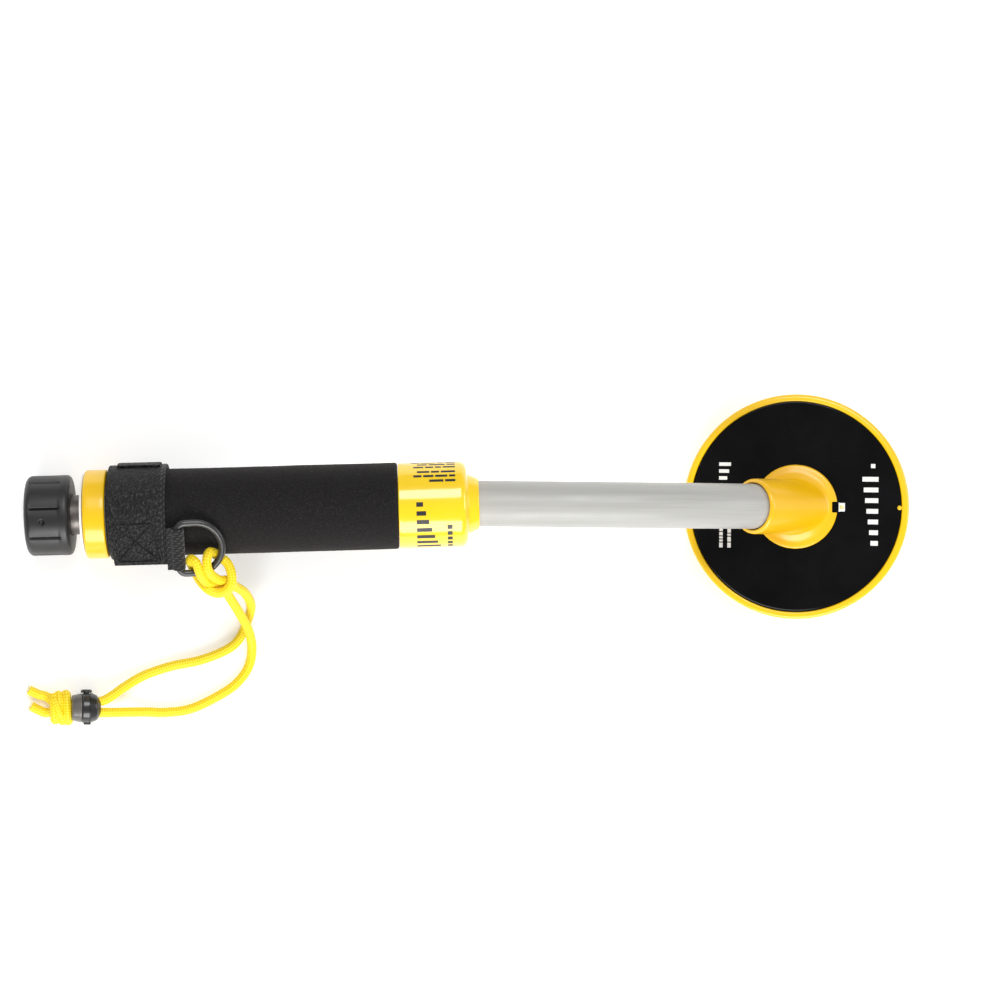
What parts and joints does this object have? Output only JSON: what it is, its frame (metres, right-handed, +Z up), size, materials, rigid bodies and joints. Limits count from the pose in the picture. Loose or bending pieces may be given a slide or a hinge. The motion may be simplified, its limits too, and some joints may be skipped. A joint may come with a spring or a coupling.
{
  "type": "underwater hand-held metal detector probe",
  "caption": "Short waterproof metal-detecting probe: round flat search coil on a bent tube, foam grip with strap, twist-knob battery cap, D-ring and cord lanyard.",
  "frame": {"origin": "on the table, under the middle of the detector's box (without the lanyard)", "axes": "+X from the knob towards the search coil, +Y to the side away from the lanyard, +Z up; the detector lies on its knob and on the coil's rear edge"},
  "size_m": [0.4284, 0.1628, 0.0748],
  "materials": {
    "shell_yellow": "moulded, semi-gloss yellow",
    "label_yellow": null,
    "disc_black": "clear epoxy over black",
    "pvc_grey": "satin grey pipe",
    "pvc_white": "satin white",
    "knob_black": "moulded black, fine grain",
    "lock_black": "moulded black",
    "component_black": "moulded black",
    "foam_black": "closed-cell foam",
    "rubber_black": "smooth rubber",
    "strap_fabric": "hook-and-loop fabric",
    "webbing_black": "woven webbing",
    "cord_yellow": "braided polyester cord",
    "ring_metal": "black coated wire",
    "steel": "turned",
    "brass": "turned",
    "copper": "enamelled wire",
    "board_green": "solder mask",
    "led_white": "moulded white with a yellow phosphor",
    "battery_case": "printed metal jacket"
  },
  "bodies": {
    "detector": {"coil_shell": "shell_yellow", "coil_former": "pvc_white", "coil_winding": "copper", "coil_disc": "disc_black", "indicator_led": "led_white", "elbow_boss": "shell_yellow", "shaft_tube": "pvc_grey", "coil_lead": "rubber_black", "front_coupling": "label_yellow", "handle_tube": "pvc_white", "foam_grip": "foam_black", "rear_collar": "shell_yellow", "bulkhead": "pvc_white", "bulkhead_pin_1": "brass", "bulkhead_pin_2": "brass", "main_board": "board_green", "control_chip": "component_black", "pulse_capacitor": "component_black", "buzzer": "component_black", "vibration_motor": "steel", "strap_band": "strap_fabric", "strap_wrap": "strap_fabric", "strap_flap": "strap_fabric", "strap_tab": "strap_fabric", "webbing_loop": "webbing_black", "lanyard_strand_1": "cord_yellow", "lanyard_strand_2": "cord_yellow", "cord_lock_body": "lock_black", "cord_lock_spring": "steel", "lanyard_knot": "cord_yellow", "lanyard_tail_1": "cord_yellow", "lanyard_tail_2": "cord_yellow"},
    "battery_cap": {"end_plug": "pvc_white", "plug_o_ring_1": "rubber_black", "plug_o_ring_2": "rubber_black", "thread_bush": "brass", "battery_carrier": "component_black", "battery": "battery_case"},
    "contact_carriage": {"contact_disc": "board_green", "contact_spring_1": "steel", "contact_spring_2": "steel"},
    "knob": {"knob": "knob_black", "knob_stud": "steel", "knob_set_screw": "steel"},
    "motor_weight": {"motor_weight": "steel"},
    "d_ring": {"d_ring": "ring_metal", "lanyard_hitch": "cord_yellow"},
    "lock_button": {"cord_lock_plunger": "lock_black"}
  },
  "joints": [
    {"name": "battery_cap_slide", "type": "slide", "parent": "detector", "child": "battery_cap", "axis": [-0.9861, -0.0384, -0.1618], "range_m": [0, 0.09]},
    {"name": "contact_advance", "type": "slide", "parent": "battery_cap", "child": "contact_carriage", "axis": [0.9861, 0.0384, 0.1618], "range_m": [0, 0.00125]},
    {"name": "knob_turn", "type": "hinge", "parent": "contact_carriage", "child": "knob", "pos_m": [-0.19449, -0.00747, 0.02109], "axis": [0.9861, 0.0384, 0.1618], "range_deg": [0, 360]},
    {"name": "motor_weight_spin", "type": "hinge", "parent": "detector", "child": "motor_weight", "pos_m": [-0.08656, -0.00325, 0.04214], "axis": [0.9861, 0.0384, 0.1618], "continuous": true},
    {"name": "d_ring_swing", "type": "hinge", "parent": "detector", "child": "d_ring", "pos_m": [-0.14352, -0.0225, 0.04896], "axis": [0.091, -0.939, -0.3317], "range_deg": [0, 90]},
    {"name": "lock_press", "type": "slide", "parent": "detector", "child": "lock_button", "axis": [0, -1, 0], "range_m": [0, 0.002], "stiffness_N_per_m": 400, "springref_m": -0.002}
  ],
  "couplings": [
    {"joint": "contact_advance", "follows": "knob_turn", "m_per_rad": 0.00019894}
  ]
}
